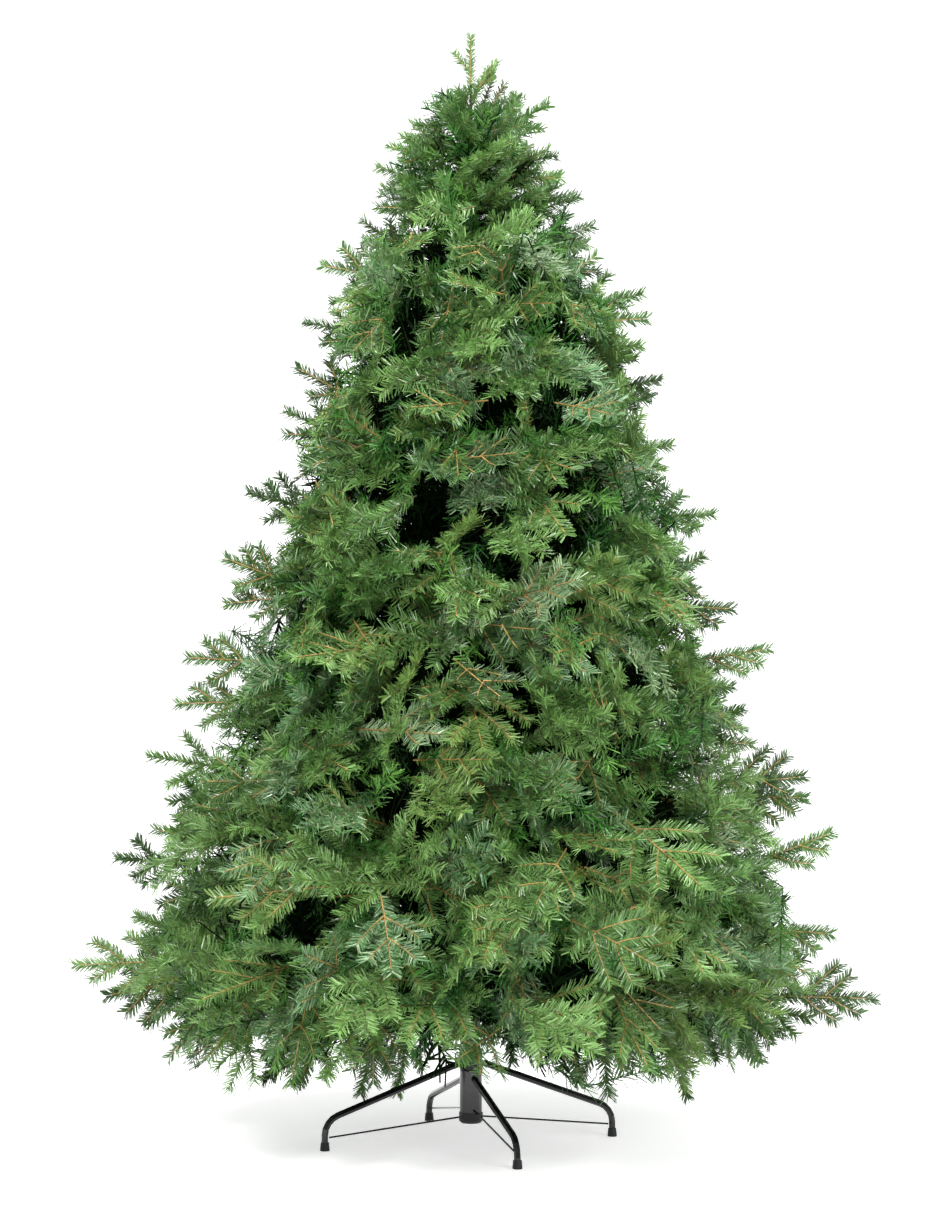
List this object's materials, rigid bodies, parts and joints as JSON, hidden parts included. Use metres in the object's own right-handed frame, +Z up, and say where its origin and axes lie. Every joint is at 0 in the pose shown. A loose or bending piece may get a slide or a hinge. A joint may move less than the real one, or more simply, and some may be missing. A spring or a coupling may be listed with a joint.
{
  "type": "artificial christmas tree",
  "caption": "Full artificial spruce tree with layered needle sprays round a steel pole, standing on a four-legged black steel stand with plastic feet.",
  "frame": {"origin": "on the floor, on the axis of the pole", "axes": "+Z up along the pole, -Y towards the viewer, +X to the viewer's right"},
  "size_m": [1.499, 1.5068, 2.1],
  "materials": {
    "needles": "matte",
    "wrapped_wire": "matte",
    "black_steel": "gloss",
    "black_plastic": "satin"
  },
  "bodies": {
    "root": {"bough_1_1": "wrapped_wire", "bough_1_2": "wrapped_wire", "bough_1_3": "wrapped_wire", "bough_1_4": "wrapped_wire", "bough_1_5": "wrapped_wire", "bough_1_6": "wrapped_wire", "bough_2_1": "wrapped_wire", "bough_2_2": "wrapped_wire", "bough_2_3": "wrapped_wire", "bough_2_4": "wrapped_wire", "bough_2_5": "wrapped_wire", "bough_3_1": "wrapped_wire", "bough_3_2": "wrapped_wire", "bough_3_3": "wrapped_wire", "bough_3_4": "wrapped_wire", "bough_3_5": "wrapped_wire", "foliage_1_1": "needles", "foliage_1_2": "needles", "foliage_1_3": "needles", "foliage_1_4": "needles", "foliage_1_5": "needles", "foliage_1_6": "needles", "foliage_2_1": "needles", "foliage_2_2": "needles", "foliage_2_3": "needles", "foliage_2_4": "needles", "foliage_2_5": "needles", "foliage_3_1": "needles", "foliage_3_2": "needles", "foliage_3_3": "needles", "foliage_3_4": "needles", "foliage_3_5": "needles", "foliage_4_1": "needles", "foliage_4_2": "needles", "foliage_4_3": "needles", "foliage_4_4": "needles", "foliage_5_1": "needles", "foliage_5_2": "needles", "foliage_5_3": "needles", "foliage_6_1": "needles", "foliage_6_2": "needles", "foliage_6_3": "needles", "foliage_leader": "needles", "pole": "black_steel", "stand_cap": "black_plastic", "stand_collar": "black_plastic", "stand_eye_screw": "black_steel", "stand_foot_back": "black_plastic", "stand_foot_front": "black_plastic", "stand_foot_left": "black_plastic", "stand_foot_right": "black_plastic", "stand_leg_back": "black_steel", "stand_leg_front": "black_steel", "stand_leg_left": "black_steel", "stand_leg_right": "black_steel", "stand_rod_back": "black_steel", "stand_rod_front": "black_steel", "stand_rod_left": "black_steel", "stand_rod_right": "black_steel", "stand_sleeve": "black_steel"}
  },
  "joints": []
}
